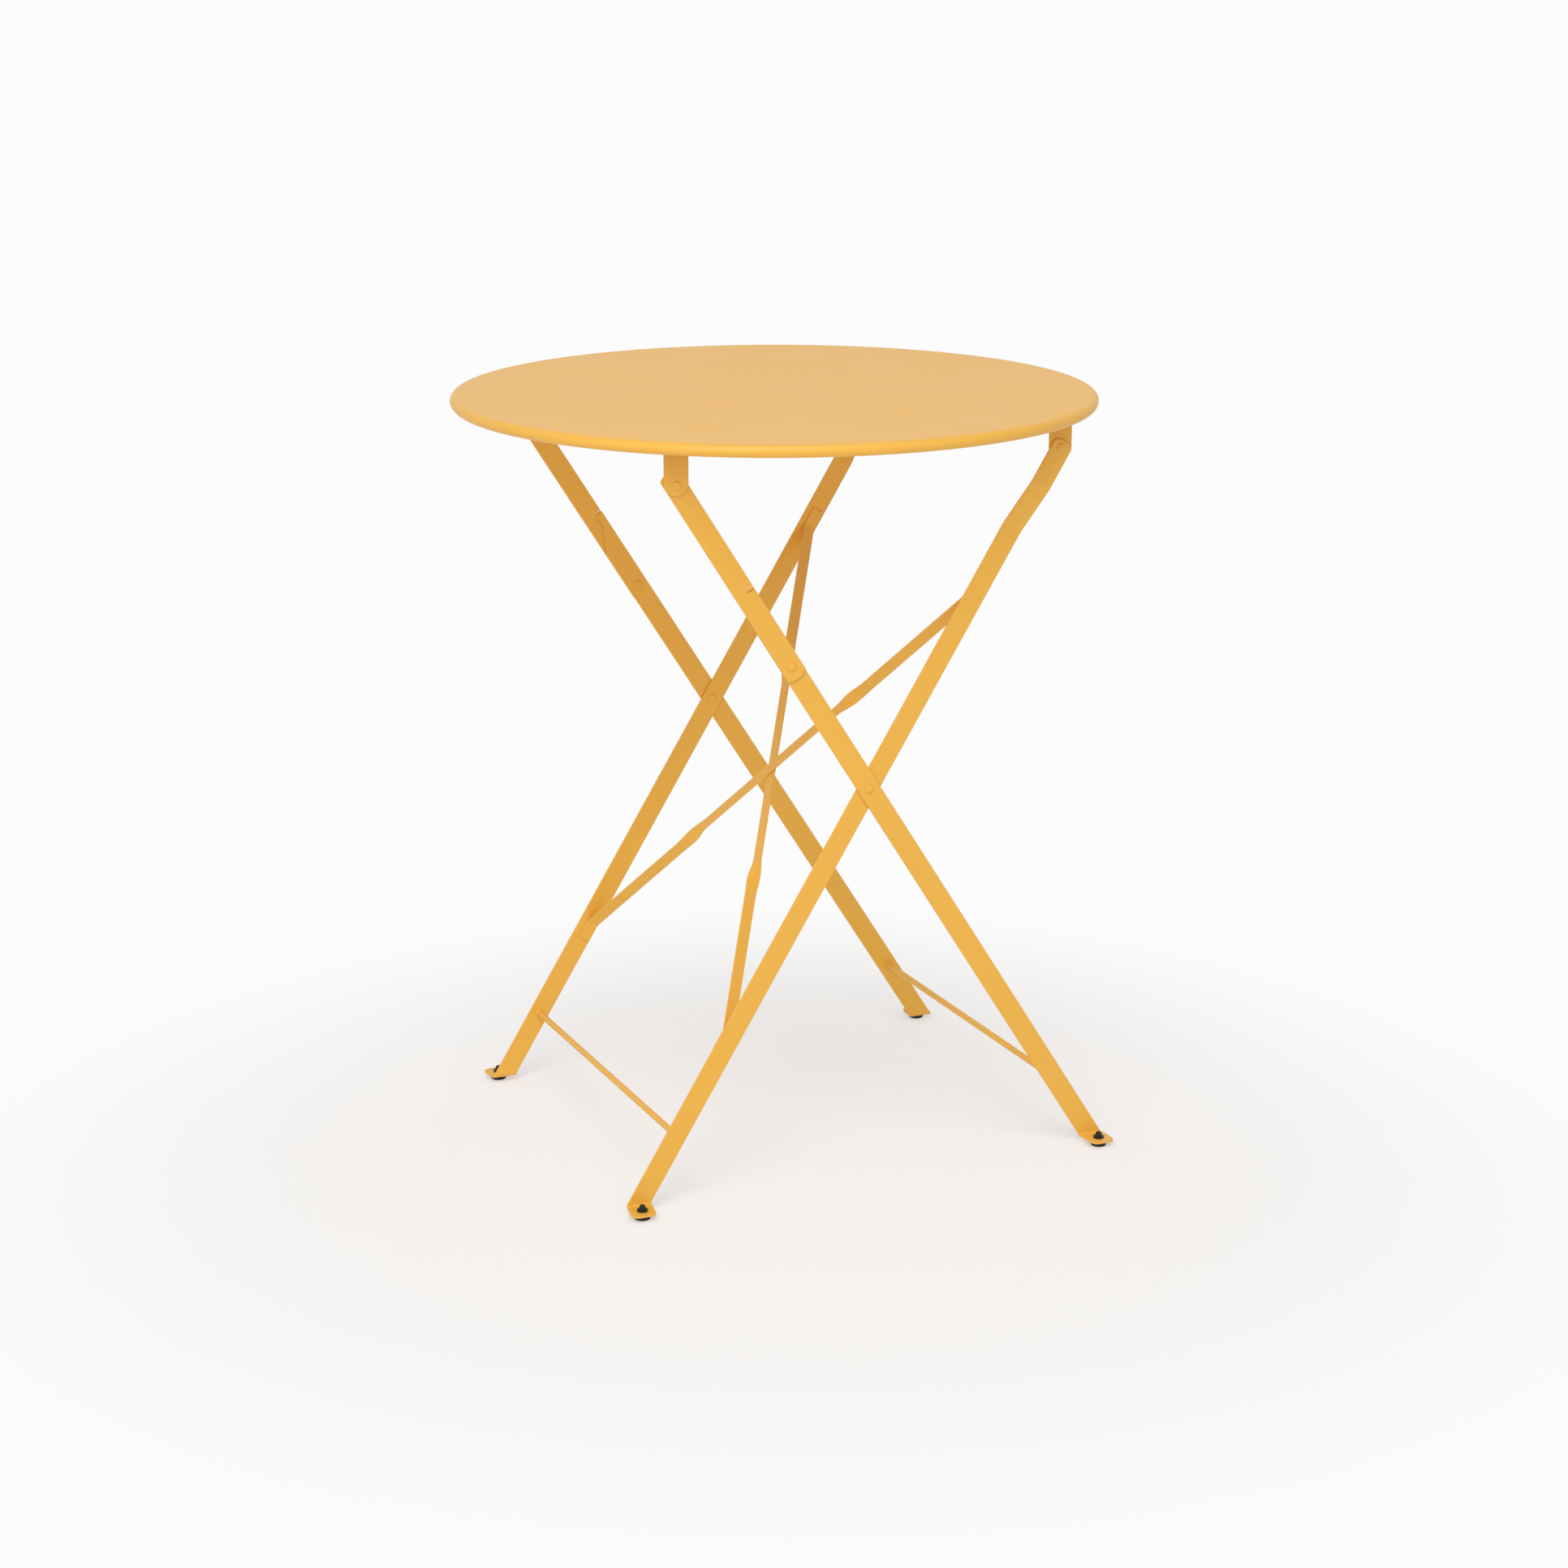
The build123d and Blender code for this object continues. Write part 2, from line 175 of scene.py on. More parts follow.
class SteelSettings(bpy.types.PropertyGroup):
    """Sheet top, bars, braces and rods."""

    sheet_thickness: FloatProperty(
        name="Sheet thickness",
        description="Thickness of the steel of the round top",
        unit="LENGTH",
        default=0.0012,
    )
    rim_height: FloatProperty(
        name="Rim height",
        description="Height of the edge that is rolled under the top",
        unit="LENGTH",
        default=0.0115,
    )
    rim_lip: FloatProperty(
        name="Rim lip",
        description="How far the rolled edge runs back under the top",
        unit="LENGTH",
        default=0.005,
    )
    rim_steps: IntProperty(
        name="Rim steps",
        description="Faces across the half round of the rolled edge",
        min=4,
        default=20,
    )
    top_steps: IntProperty(
        name="Top steps",
        description="Faces round the top",
        min=32,
        default=288,
    )
    edge_radius: FloatProperty(
        name="Edge radius",
        description="Rounding that the coat gives to the bars' edges",
        unit="LENGTH",
        default=0.00035,
    )
    brace_width: FloatProperty(
        name="Brace width",
        description="Width of the strip of the crossed braces",
        unit="LENGTH",
        default=0.012,
    )
    brace_thickness: FloatProperty(
        name="Brace thickness",
        description="Thickness of the strip of the crossed braces",
        unit="LENGTH",
        default=0.0015,
    )
    brace_middle: FloatProperty(
        name="Brace middle",
        description="Place of the braces' crossing along the inner legs, from their pivot",
        unit="LENGTH",
        default=-0.030,
    )
    brace_corner: FloatProperty(
        name="Brace corner",
        description="Distance along the leg from the braces' middle to where a tab begins",
        unit="LENGTH",
        default=0.226,
    )
    brace_tab: FloatProperty(
        name="Brace tab",
        description="Length of a brace's tab on a leg",
        unit="LENGTH",
        default=0.019,
    )
    brace_low_offset: FloatProperty(
        name="Brace low offset",
        description="Distance of a brace's low tab from the middle of the leg",
        unit="LENGTH",
        default=0.0035,
    )
    brace_high_offset: FloatProperty(
        name="Brace high offset",
        description="Distance of a brace's high tab from the middle of the leg",
        unit="LENGTH",
        default=-0.002,
    )
    brace_cross_offset: FloatProperty(
        name="Brace cross offset",
        description="How far each brace is set aside between its twists, where the two pass",
        unit="LENGTH",
        default=0.0017,
    )
    brace_bend: FloatProperty(
        name="Brace bend",
        description="Radius of the bend between a brace and its tab",
        unit="LENGTH",
        default=0.007,
    )
    twist_start: FloatProperty(
        name="Twist start",
        description="Distance from a brace's middle at which its quarter twist begins",
        unit="LENGTH",
        default=0.100,
    )
    twist_end: FloatProperty(
        name="Twist end",
        description="Distance from a brace's middle at which its quarter twist ends",
        unit="LENGTH",
        default=0.144,
    )
    brace_step: FloatProperty(
        name="Brace step",
        description="Length of a brace's faces",
        unit="LENGTH",
        default=0.0015,
    )
    rod_steps: IntProperty(
        name="Rod steps",
        description="Faces round a tie rod",
        min=8,
        default=32,
    )


class FastenerSettings(bpy.types.PropertyGroup):
    """Rivets, glides and welds."""

    head_height: FloatProperty(
        name="Head height",
        description="Height of a rivet's head",
        unit="LENGTH",
        default=0.0013,
    )
    head_radius: FloatProperty(
        name="Head radius",
        description="Radius of a rivet's head",
        unit="LENGTH",
        default=0.0042,
    )
    head_fullness: FloatProperty(
        name="Head fullness",
        description="How square the shoulder of a rivet's head is, where 2 is an ellipse",
        min=1.5,
        max=8,
        default=3.2,
    )
    shank_radius: FloatProperty(
        name="Shank radius",
        description="Radius of a rivet's shank",
        unit="LENGTH",
        default=0.0025,
    )
    disc_radius: FloatProperty(
        name="Disc radius",
        description="Radius of a glide's disc under the foot plate",
        unit="LENGTH",
        default=0.0074,
    )
    disc_height: FloatProperty(
        name="Disc height",
        description="Height of a glide's disc, from the floor to the foot plate",
        unit="LENGTH",
        default=0.0052,
    )
    stem_radius: FloatProperty(
        name="Stem radius",
        description="Radius of a glide's stem",
        unit="LENGTH",
        default=0.00295,
    )
    barb_radius: FloatProperty(
        name="Barb radius",
        description="Radius of the barb that holds a glide above the foot plate",
        unit="LENGTH",
        default=0.005,
    )
    barb_height: FloatProperty(
        name="Barb height",
        description="Height of the barb",
        unit="LENGTH",
        default=0.0018,
    )
    plate_thickness: FloatProperty(
        name="Plate thickness",
        description="Thickness of the foot plate that the stem goes through, with its play",
        unit="LENGTH",
        default=0.00205,
    )
    turned_steps: IntProperty(
        name="Turned steps",
        description="Faces round a rivet or glide",
        min=8,
        default=40,
    )
    bead_radius: FloatProperty(
        name="Bead radius",
        description="Radius of a weld bead",
        unit="LENGTH",
        default=0.0013,
    )
    ripple_pitch: FloatProperty(
        name="Ripple pitch",
        description="Distance between the ripples of a weld bead",
        unit="LENGTH",
        default=0.0015,
    )
    ripple_depth: FloatProperty(
        name="Ripple depth",
        description="Share of a bead's radius that its ripples take",
        subtype="FACTOR",
        min=0,
        max=0.5,
        default=0.10,
    )


class StudioSettings(bpy.types.PropertyGroup):
    """Floor, lights and camera."""

    floor_colour: FloatVectorProperty(
        name="Floor colour",
        description="Colour of the floor close to the table",
        subtype="COLOR",
        size=3,
        min=0,
        max=1,
        default=(0.945, 0.933, 0.922),
    )
    backdrop_light: FloatProperty(
        name="Backdrop",
        description="Brightness of the backdrop as it is seen, where 1 is white",
        min=0,
        max=1,
        default=0.973,
    )
    dome_light: FloatProperty(
        name="Dome",
        description="Strength of the even light from all round",
        min=0,
        default=0.53,
    )
    key_power: FloatProperty(
        name="Key power",
        description="Power of the large soft light above the camera",
        unit="POWER",
        min=0,
        default=110,
    )
    front_power: FloatProperty(
        name="Front power",
        description="Power of the large soft light low in front",
        unit="POWER",
        min=0,
        default=106,
    )
    camera_place: FloatVectorProperty(
        name="Camera place",
        description="Where the camera stands",
        subtype="TRANSLATION",
        unit="LENGTH",
        size=3,
        default=(-1.26926, -2.95033, 1.21731),
    )
    camera_turn: FloatProperty(
        name="Camera turn",
        description="How far the camera is turned to its right from looking along Y",
        subtype="ANGLE",
        default=math.radians(23.437),
    )
    camera_drop: FloatProperty(
        name="Camera drop",
        description="How far the camera looks down",
        subtype="ANGLE",
        default=math.radians(15.374),
    )
    camera_lens: FloatProperty(
        name="Lens",
        description="Focal length of the camera",
        unit="CAMERA",
        default=79.966,
    )


class TableSettings(bpy.types.PropertyGroup):
    """All the settings of the table."""

    coat: PointerProperty(type=CoatSettings, name="Coat", description="Powder coat and plastic")
    steel: PointerProperty(type=SteelSettings, name="Steel", description="Sheet, bars and rods")
    fasteners: PointerProperty(
        type=FastenerSettings, name="Fasteners", description="Rivets, glides and welds"
    )
    studio: PointerProperty(
        type=StudioSettings, name="Studio", description="Floor, lights and camera"
    )


# Wiring of node trees.


class Wiring:
    """Adds nodes to a tree and links them."""

    def __init__(self, tree):
        self.tree = tree

    def add(self, kind, inputs=None, **settings):
        """Adds a node with its settings, then its inputs by name or number."""
        node = self.tree.nodes.new(kind)
        for name, value in settings.items():
            setattr(node, name, value)
        self.set_inputs(node, inputs or {})
        return node

    def set_inputs(self, node, inputs):
        """Sets a node's inputs, by name or number, to values or to the sockets they come from."""
        for key, value in inputs.items():
            if isinstance(value, bpy.types.NodeSocket):
                self.tree.links.new(value, node.inputs[key])
            else:
                node.inputs[key].default_value = value

    def math(self, operation, *values):
        """The result of one operation on numbers."""
        return self.add("ShaderNodeMath", dict(enumerate(values)), operation=operation).outputs[0]

    def span(self, value, from_low, from_high, to_low, to_high, kind="LINEAR"):
        """A value carried from one range to another, and held at its ends."""
        inputs = {
            "Value": value,
            "From Min": from_low,
            "From Max": from_high,
            "To Min": to_low,
            "To Max": to_high,
        }
        return self.add("ShaderNodeMapRange", inputs, interpolation_type=kind).outputs["Result"]


def geometry_tree(name, inputs):
    """A new geometry tree with named inputs. Returns its wiring and the input sockets by name."""
    tree = bpy.data.node_groups.new(name, "GeometryNodeTree")
    tree.interface.new_socket("Geometry", in_out="INPUT", socket_type="NodeSocketGeometry")
    tree.interface.new_socket("Geometry", in_out="OUTPUT", socket_type="NodeSocketGeometry")
    for label, kind in inputs.items():
        tree.interface.new_socket(label, in_out="INPUT", socket_type="NodeSocket" + kind)
    wiring = Wiring(tree)
    return wiring, wiring.add("NodeGroupInput").outputs


def finish_tree(wiring, geometry, material):
    """Ends a tree: makes instances real, shades the surface smooth and gives it its material."""
    real = wiring.add("GeometryNodeRealizeInstances", {"Geometry": geometry}).outputs[0]
    smooth = wiring.add("GeometryNodeSetShadeSmooth", {"Geometry": real}).outputs[0]
    done = wiring.add("GeometryNodeSetMaterial", {"Geometry": smooth, "Material": material})
    wiring.add("NodeGroupOutput", {"Geometry": done.outputs[0]})


def turned_tree():
    """Half sections turned about Z at every point of a mesh, each tipped by its "tip" angles."""
    found = bpy.data.node_groups.get("Turned parts")
    if found:
        return found
    wiring, given = geometry_tree(
        "Turned parts",
        {
            "Half section": "Object",
            "Rail radius": "Float",
            "Faces round": "Int",
            "Join distance": "Float",
            "Material": "Material",
        },
    )
    section = wiring.add("GeometryNodeObjectInfo", {"Object": given["Half section"]})
    rail = wiring.add(
        "GeometryNodeCurvePrimitiveCircle",
        {"Resolution": given["Faces round"], "Radius": given["Rail radius"]},
    )
    swept = wiring.add(
        "GeometryNodeCurveToMesh",
        {"Curve": rail.outputs["Curve"], "Profile Curve": section.outputs["Geometry"]},
    )
    joined = wiring.add(
        "GeometryNodeMergeByDistance",
        {"Geometry": swept.outputs[0], "Distance": given["Join distance"]},
    )
    tip = wiring.add(
        "GeometryNodeInputNamedAttribute", {"Name": "tip"}, data_type="FLOAT_VECTOR"
    )
    turn = wiring.add("FunctionNodeEulerToRotation", {"Euler": tip.outputs["Attribute"]})
    points = wiring.add("GeometryNodeMeshToPoints", {"Mesh": given["Geometry"]})
    placed = wiring.add(
        "GeometryNodeInstanceOnPoints",
        {
            "Points": points.outputs[0],
            "Instance": joined.outputs[0],
            "Rotation": turn.outputs[0],
        },
    )
    finish_tree(wiring, placed.outputs[0], given["Material"])
    return wiring.tree


def strip_tree():
    """A flat strip on edge along a bent route, with a quarter twist either side of its middle."""
    wiring, given = geometry_tree(
        "Twisted strip",
        {
            "Width": "Float",
            "Thickness": "Float",
            "Bend radius": "Float",
            "Step": "Float",
            "Low offset": "Float",
            "High offset": "Float",
            "Cross offset": "Float",
            "Half span": "Float",
            "Twist start": "Float",
            "Twist end": "Float",
            "Material": "Material",
        },
    )
    bent = wiring.add(
        "GeometryNodeFilletCurve",
        {"Curve": given["Geometry"], "Radius": given["Bend radius"], "Count": BEND_STEPS},
        mode="POLY",
    )
    stepped = wiring.add(
        "GeometryNodeResampleCurve",
        {"Curve": bent.outputs[0], "Length": given["Step"]},
        mode="LENGTH",
    )
    along = wiring.add("GeometryNodeSplineParameter").outputs["Length"]
    whole = wiring.add("GeometryNodeSplineLength").outputs["Length"]
    from_middle = wiring.math("SUBTRACT", along, wiring.math("MULTIPLY", whole, 0.5))
    distance = wiring.math("ABSOLUTE", from_middle)
    half_span = given["Half span"]
    lean = wiring.span(
        from_middle,
        wiring.math("MULTIPLY", half_span, -1.0),
        half_span,
        given["Low offset"],
        given["High offset"],
    )
    turned = wiring.span(
        distance, given["Twist start"], given["Twist end"], 1.0, 0.0, "SMOOTHSTEP"
    )
    aside = wiring.math("MULTIPLY", turned, given["Cross offset"])
    shift = wiring.add("ShaderNodeCombineXYZ", {"Z": wiring.math("SUBTRACT", lean, aside)})
    shifted = wiring.add(
        "GeometryNodeSetPosition",
        {"Geometry": stepped.outputs[0], "Offset": shift.outputs[0]},
    )
    upright = wiring.add(
        "GeometryNodeSetCurveNormal", {"Curve": shifted.outputs[0]}, mode="Z_UP"
    )
    roll = wiring.math("MULTIPLY", turned, -QUARTER_TURN)
    twisted = wiring.add(
        "GeometryNodeSetCurveTilt", {"Curve": upright.outputs[0], "Tilt": roll}
    )
    section = wiring.add(
        "GeometryNodeCurvePrimitiveQuadrilateral",
        {"Width": given["Thickness"], "Height": given["Width"]},
    )
    swept = wiring.add(
        "GeometryNodeCurveToMesh",
        {
            "Curve": twisted.outputs[0],
            "Profile Curve": section.outputs[0],
            "Fill Caps": True,
        },
    )
    finish_tree(wiring, swept.outputs[0], given["Material"])
    return wiring.tree


def rod_tree():
    """A plain round rod along every edge of a mesh."""
    wiring, given = geometry_tree(
        "Round rods", {"Radius": "Float", "Faces round": "Int", "Material": "Material"}
    )
    path = wiring.add("GeometryNodeMeshToCurve", {"Mesh": given["Geometry"]})
    section = wiring.add(
        "GeometryNodeCurvePrimitiveCircle",
        {"Resolution": given["Faces round"], "Radius": given["Radius"]},
    )
    swept = wiring.add(
        "GeometryNodeCurveToMesh",
        {
            "Curve": path.outputs[0],
            "Profile Curve": section.outputs["Curve"],
            "Fill Caps": True,
        },
    )
    finish_tree(wiring, swept.outputs[0], given["Material"])
    return wiring.tree


def bead_tree():
    """Weld beads along the runs of a mesh: rippled and a little uneven."""
    found = bpy.data.node_groups.get("Weld beads")
    if found:
        return found
    wiring, given = geometry_tree(
        "Weld beads",
        {
            "Radius": "Float",
            "Ripple pitch": "Float",
            "Ripple depth": "Float",
            "Step": "Float",
            "Unevenness": "Float",
            "Seed": "Float",
            "Material": "Material",
        },
    )
    path = wiring.add("GeometryNodeMeshToCurve", {"Mesh": given["Geometry"]})
    stepped = wiring.add(
        "GeometryNodeResampleCurve",
        {"Curve": path.outputs[0], "Length": given["Step"]},
        mode="LENGTH",
    )
    along = wiring.add("GeometryNodeSplineParameter").outputs["Length"]
    waves = wiring.math("MULTIPLY", wiring.math("DIVIDE", along, given["Ripple pitch"]), math.pi)
    ripple = wiring.math("ABSOLUTE", wiring.math("SINE", waves))
    hollow = wiring.math(
        "MULTIPLY", wiring.math("SUBTRACT", 1.0, ripple), given["Ripple depth"]
    )
    place = wiring.add("GeometryNodeInputPosition")
    noise = wiring.add(
        "ShaderNodeTexNoise",
        {
            "Vector": place.outputs[0],
            "W": given["Seed"],
            "Scale": BEAD_NOISE_SCALE,
            "Detail": 1.0,
        },
        noise_dimensions="4D",
    )
    uneven = wiring.math(
        "MULTIPLY", wiring.math("SUBTRACT", noise.outputs["Fac"], 0.5), given["Unevenness"]
    )
    scale = wiring.math("ADD", wiring.math("SUBTRACT", 1.0, hollow), uneven)
    section = wiring.add(
        "GeometryNodeCurvePrimitiveCircle", {"Resolution": BEAD_STEPS, "Radius": given["Radius"]}
    )
    swept = wiring.add(
        "GeometryNodeCurveToMesh",
        {
            "Curve": stepped.outputs[0],
            "Profile Curve": section.outputs["Curve"],
            "Scale": scale,
            "Fill Caps": True,
        },
    )
    finish_tree(wiring, swept.outputs[0], given["Material"])
    return wiring.tree


# Meshes and objects.


def point_mesh(name, points, edges=(), tips=()):
    """A mesh of points, with edges for the runs of a path, and tip angles for turned parts."""
    mesh = bpy.data.meshes.new(name)
    mesh.from_pydata([tuple(point) for point in points], edges, [])
    if tips:
        tip = mesh.attributes.new("tip", "FLOAT_VECTOR", "POINT")
        tip.data.foreach_set("vector", [angle for angles in tips for angle in angles])
    return mesh


def route_curve(name, points):
    """A curve of straight runs through points."""
    curve = bpy.data.curves.new(name, "CURVE")
    curve.dimensions = "3D"
    run = curve.splines.new("POLY")
    run.points.add(len(points) - 1)
    for at, point in zip(run.points, points):
        at.co = (*point, 1)
    return curve


def linked_object(name, data):
    """A new object in the scene."""
    made = bpy.data.objects.new(name, data)
    bpy.context.scene.collection.objects.link(made)
    return made


def evaluated_mesh(shape):
    """A plain mesh of what an object's modifiers make of it."""
    depsgraph = bpy.context.evaluated_depsgraph_get()
    return bpy.data.meshes.new_from_object(shape.evaluated_get(depsgraph))


def grown_mesh(data, tree, values):
    """A plain mesh of what a geometry tree makes of a mesh or curve."""
    start = linked_object("start", data)
    modifier = start.modifiers.new("Grow", "NODES")
    modifier.node_group = tree
    for item in tree.interface.items_tree:
        if item.in_out == "INPUT" and item.name in values:
            modifier[item.identifier] = values[item.name]
    grown = evaluated_mesh(start)
    start.modifiers.remove(modifier)
    bpy.data.objects.remove(start)
    if not grown.polygons:
        raise RuntimeError(f"the tree {tree.name} made nothing")
    return grown


def turn_steps(turn, steps, start=0.0):
    """The angles that divide a turn into even steps, with both of its ends."""
    return [start + turn * step / steps for step in range(steps + 1)]


def arc_points(centre, radius, angles):
    """The points of an arc at each angle."""
    return [
        (centre[0] + radius * math.cos(angle), centre[1] + radius * math.sin(angle))
        for angle in angles
    ]


def turned_mesh(half_section, places, tips, steps, material):
    """A plain mesh of a half section turned at each place. Its points are (radius, height)."""
    rail = max(radius for radius, height in half_section) / 2
    profile = [(radius - rail, -height, 0) for radius, height in half_section]
    section = linked_object("half section", route_curve("half section", profile))
    mesh = grown_mesh(
        point_mesh("places", places, tips=tips),
        turned_tree(),
        {
            "Half section": section,
            "Rail radius": rail,
            "Faces round": steps,
            "Join distance": MERGE_DISTANCE,
            "Material": material,
        },
    )
    bpy.data.objects.remove(section)
    return mesh


def joined_mesh(meshes):
    """One mesh of several."""
    shape = bmesh.new()
    for mesh in meshes:
        shape.from_mesh(mesh)
    shape.to_mesh(meshes[0])
    shape.free()
    return meshes[0]


def rounded_edges(mesh, radius, plain_holes, hole_radius):
    """Rounds a steel piece's sharp edges, apart from those of the holes under its rivets' heads."""
    shape = bmesh.new()
    shape.from_mesh(mesh)
    bmesh.ops.remove_doubles(shape, verts=shape.verts, dist=MERGE_DISTANCE)
    bmesh.ops.dissolve_limit(
        shape, angle_limit=FLAT_ANGLE, verts=shape.verts, edges=shape.edges
    )
    onto_middle = Vector((1, 0, 1))

    def in_hole(vert):
        return any((vert.co * onto_middle - hole).length < hole_radius for hole in plain_holes)

    sharp = [
        edge
        for edge in shape.edges
        if edge.is_manifold
        and edge.calc_face_angle() > SHARP_ANGLE
        and not all(in_hole(vert) for vert in edge.verts)
    ]
    bmesh.ops.bevel(
        shape,
        geom=sharp,
        offset=radius,
        offset_type="OFFSET",
        segments=EDGE_SEGMENTS,
        profile=0.5,
        affect="EDGES",
        clamp_overlap=False,
    )
    shape.to_mesh(mesh)
    shape.free()
    return mesh


def smooth_finish(mesh, material):
    """Smooth shading that leaves a piece's flat faces flat, and the material."""
    mesh.materials.clear()
    mesh.materials.append(material)
    mesh.shade_smooth()
    holder = linked_object("holder", mesh)
    weighted = holder.modifiers.new("Flat faces", "WEIGHTED_NORMAL")
    weighted.mode = "FACE_AREA"
    weighted.weight = FLAT_FACE_WEIGHT
    finished = evaluated_mesh(holder)
    bpy.data.objects.remove(holder)
    return finished


def coated_bar(mesh, plain_holes=()):
    """A steel piece's mesh with rounded edges and the powder coat."""
    settings = bpy.context.scene.bistro_table
    hole_radius = settings.fasteners.head_radius
    rounded = rounded_edges(mesh, settings.steel.edge_radius, plain_holes, hole_radius)
    return smooth_finish(rounded, powder_coat())


def place_piece(name, mesh, body, slot, *nodes):
    """Puts a finished mesh in the scene as a piece that rides on a body and replaces CAD nodes."""
    mesh.name = name
    piece = linked_object(name, mesh)
    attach(piece, body)
    if nodes:
        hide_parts(*nodes)


def body_of(node):
    """The body that a CAD node belongs to."""
    bodies = frame["record"]["behaviour"]["bodies"]
    return next(body for body, nodes in bodies.items() if node in nodes)


# Materials.


def shader_wiring(name):
    """A new material's wiring, its shader node, and the coordinates of the piece."""
    material = bpy.data.materials.new(name)
    material.use_nodes = True
    material.node_tree.nodes.clear()
    wiring = Wiring(material.node_tree)
    shader = wiring.add("ShaderNodeBsdfPrincipled")
    wiring.add("ShaderNodeOutputMaterial", {"Surface": shader.outputs[0]})
    place = wiring.add("ShaderNodeTexCoord").outputs["Object"]
    return material, wiring, shader, place


def noise(wiring, place, size, detail=2.0, roughness=0.5):
    """Noise whose features are about so many metres wide."""
    inputs = {"Vector": place, "Scale": 1.0 / size, "Detail": detail, "Roughness": roughness}
    return wiring.add("ShaderNodeTexNoise", inputs).outputs["Fac"]


def colour_mix(wiring, factor, first, second):
    """The first colour at 0, the second at 1, and a mix between."""
    inputs = {"Factor": factor, "A": first, "B": second}
    return wiring.add("ShaderNodeMix", inputs, data_type="RGBA").outputs["Result"]


def colour_shares(colour, shares):
    """A colour made darker or brighter by each share, as a node takes it."""
    return [(*(Vector(colour) * share), 1) for share in shares]


def bump(wiring, height, depth):
    """The normal of a surface that a noise raises by a depth in metres."""
    inputs = {"Height": height, "Distance": depth, "Strength": BUMP_STRENGTH}
    return wiring.add("ShaderNodeBump", inputs).outputs[0]


def powder_coat():
    """Satin powder coat: faint cloudiness, fine flecks, slow orange peel and uneven gloss."""
    found = bpy.data.materials.get("powder_coat_yellow")
    if found:
        return found
    coat = bpy.context.scene.bistro_table.coat
    material, wiring, shader, place = shader_wiring("powder_coat_yellow")
    dull, bright, flecked = colour_shares(coat.coat_colour, (*CLOUD_SHARES, FLECK_SHARE))
    cloud_noise = noise(wiring, place, CLOUD_SIZE, detail=3.0)
    grain = noise(wiring, place, FLECK_SIZE, roughness=0.6)
    peel = noise(wiring, place, coat.peel_size, roughness=0.45)
    cloud = wiring.span(cloud_noise, *CLOUD_RANGE, 0.0, 1.0)
    fleck = wiring.span(grain, *FLECK_RANGE, 0.0, FLECK_STRENGTH)
    clouded = colour_mix(wiring, cloud, dull, bright)
    both = wiring.math("MULTIPLY", wiring.math("ADD", cloud, grain), 0.5)
    low, high = coat.coat_roughness - GLOSS_SPREAD, coat.coat_roughness + GLOSS_SPREAD
    wiring.set_inputs(
        shader,
        {
            "Base Color": colour_mix(wiring, fleck, clouded, flecked),
            "Roughness": wiring.span(both, *GLOSS_RANGE, low, high),
            "IOR": COAT_IOR,
            "Specular IOR Level": coat.coat_specular,
            "Normal": bump(wiring, peel, coat.peel_depth),
        },
    )
    return material


def moulded_plastic():
    """Black moulded plastic: fine leathery grain and uneven dullness."""
    found = bpy.data.materials.get("moulded_plastic_black")
    if found:
        return found
    coat = bpy.context.scene.bistro_table.coat
    material, wiring, shader, place = shader_wiring("moulded_plastic_black")
    dark, worn = colour_shares(coat.plastic_colour, WEAR_SHARES)
    grain = noise(wiring, place, LEATHER_SIZE, detail=3.0, roughness=0.6)
    wear = noise(wiring, place, WEAR_SIZE)
    wiring.set_inputs(
        shader,
        {
            "Base Color": colour_mix(wiring, wear, dark, worn),
            "Roughness": wiring.span(wear, *WEAR_RANGE, *PLASTIC_ROUGHNESS),
            "Specular IOR Level": PLASTIC_SPECULAR,
            "Normal": bump(wiring, grain, LEATHER_DEPTH),
        },
    )
    return material


# Operators, one for each piece or group of like pieces.


class BISTRO_OT_tabletop(bpy.types.Operator):
    """Makes the round sheet top with its rolled edge"""

    bl_idname = "bistro.tabletop"
    bl_label = "Tabletop"

    lip_steps = 6
    # The flat of the top ends this many sheet thicknesses inside the roll.
    flat_margin = 2

    def execute(self, context):
        steel = context.scene.bistro_table.steel
        low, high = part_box("tabletop")
        top = high.z
        sheet = steel.sheet_thickness
        roll = steel.rim_height / 2
        centre = ((high.x - low.x) / 2 - roll, top - roll)
        flat_end = centre[0] - self.flat_margin * sheet
        lip_centre = (centre[0] - steel.rim_lip + sheet / 2, top - 2 * roll + sheet / 2)
        half_turn = turn_steps(-math.pi, steel.rim_steps, QUARTER_TURN)
        lip_turn = turn_steps(-math.pi, self.lip_steps, -QUARTER_TURN)
        half_section = [(0, top), (flat_end, top)]
        half_section += arc_points(centre, roll, half_turn)
        half_section += arc_points(lip_centre, sheet / 2, lip_turn)
        half_section += arc_points(centre, roll - sheet, reversed(half_turn))
        half_section += [(flat_end, top - sheet), (0, top - sheet)]
        mesh = turned_mesh(half_section, [(0, 0, 0)], [(0, 0, 0)], steel.top_steps, powder_coat())
        mesh = smooth_finish(mesh, powder_coat())
        place_piece("round_top", mesh, body_of("tabletop"), COAT_SLOT, "tabletop")
        return {"FINISHED"}


